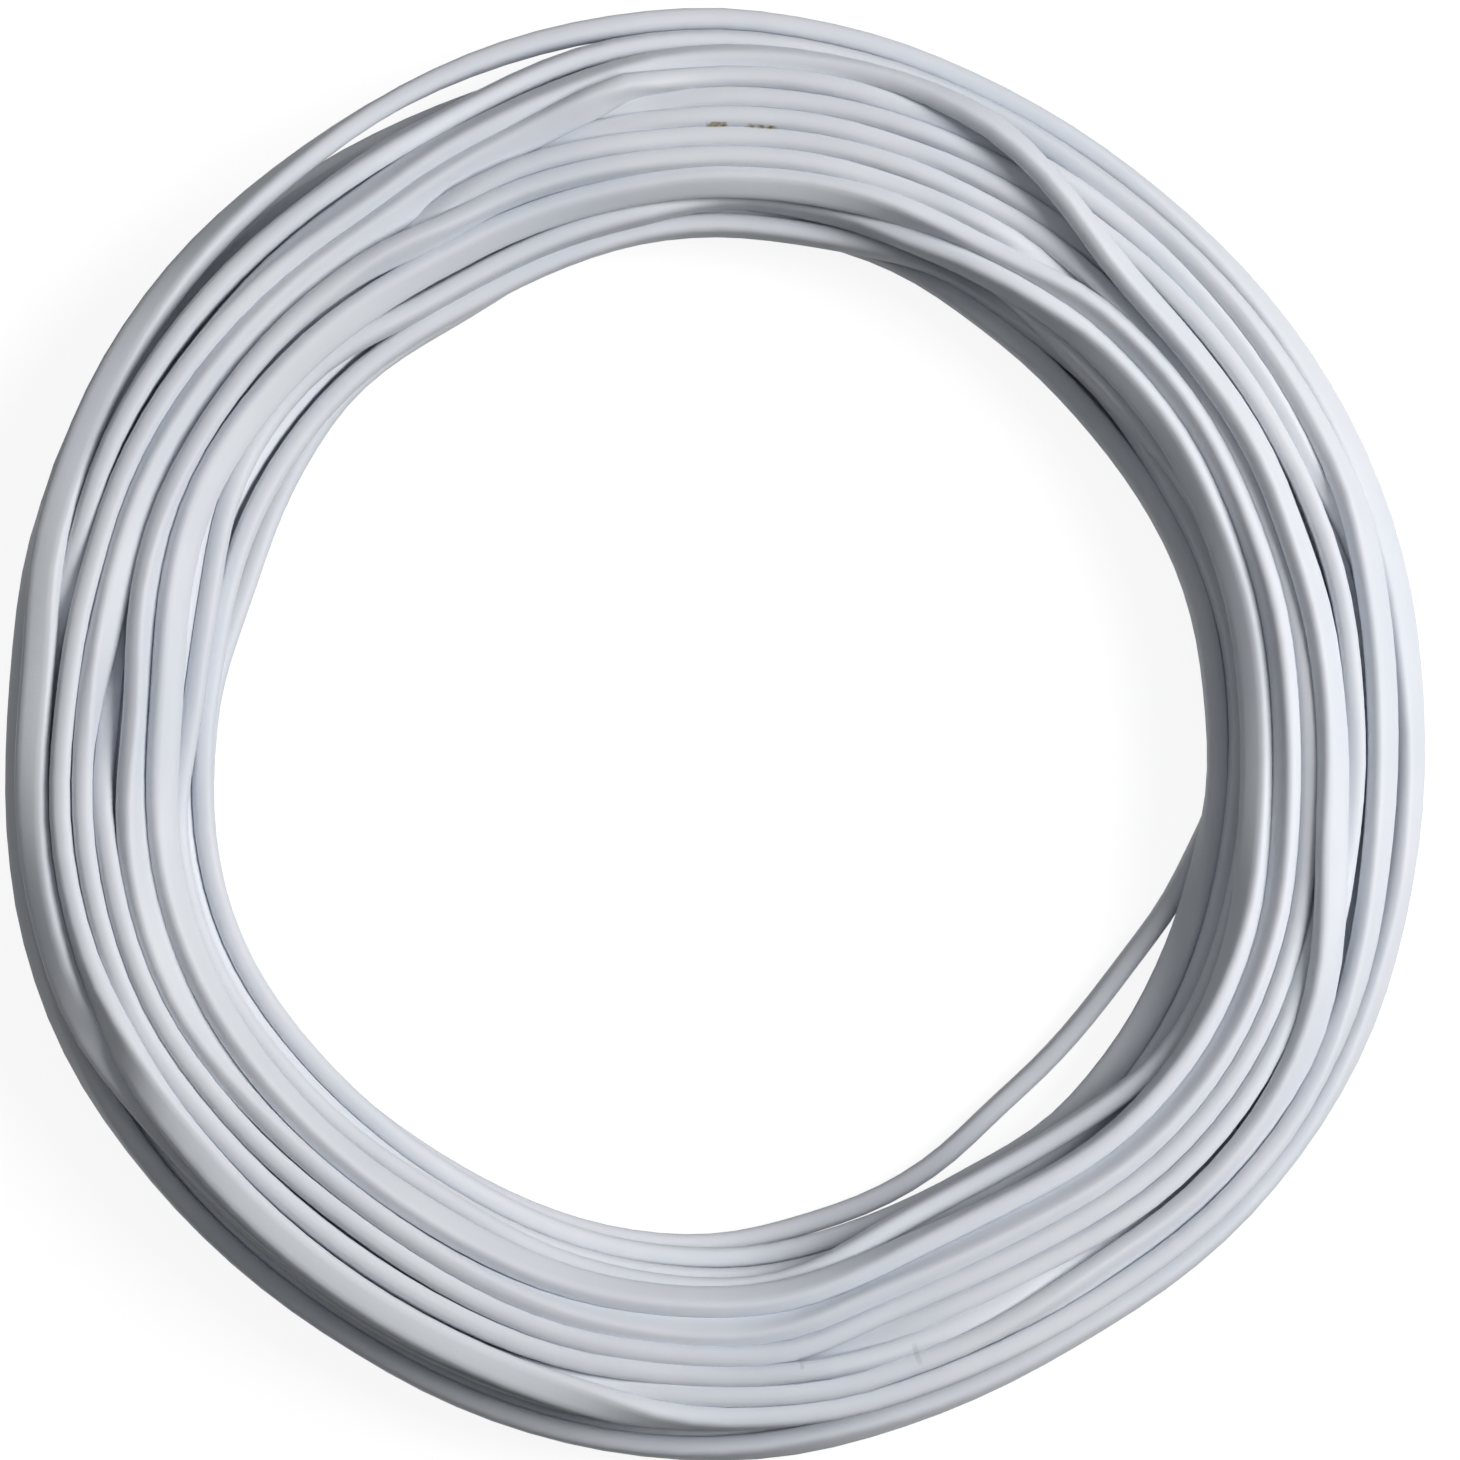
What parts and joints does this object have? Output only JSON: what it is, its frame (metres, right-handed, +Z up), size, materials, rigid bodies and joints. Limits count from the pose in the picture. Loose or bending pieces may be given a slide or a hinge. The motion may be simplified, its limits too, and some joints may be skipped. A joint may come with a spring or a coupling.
{
  "type": "coil of flat power cord",
  "caption": "Round coil of white flat twin-core power cord, wound on edge in layers, with slack turns outside and inside and a turn crossing over the top.",
  "frame": {"origin": "centre of the ring, on the surface that the coil lies on", "axes": "+Z up, along the ring's axis; +X to the right and +Y away from the viewer; the slack outer turn stands off at the upper left (-X, +Y), the slack inner stretch at the lower right (+X, -Y)"},
  "size_m": [0.2357, 0.2373, 0.0281],
  "materials": {
    "sheath": "satin soft PVC",
    "copper": "bare stranded copper at the cut ends"
  },
  "bodies": {
    "root": {"coil": "sheath", "outer_turn": "sheath", "inner_turn": "sheath", "crossing_turn": "sheath"}
  },
  "joints": []
}
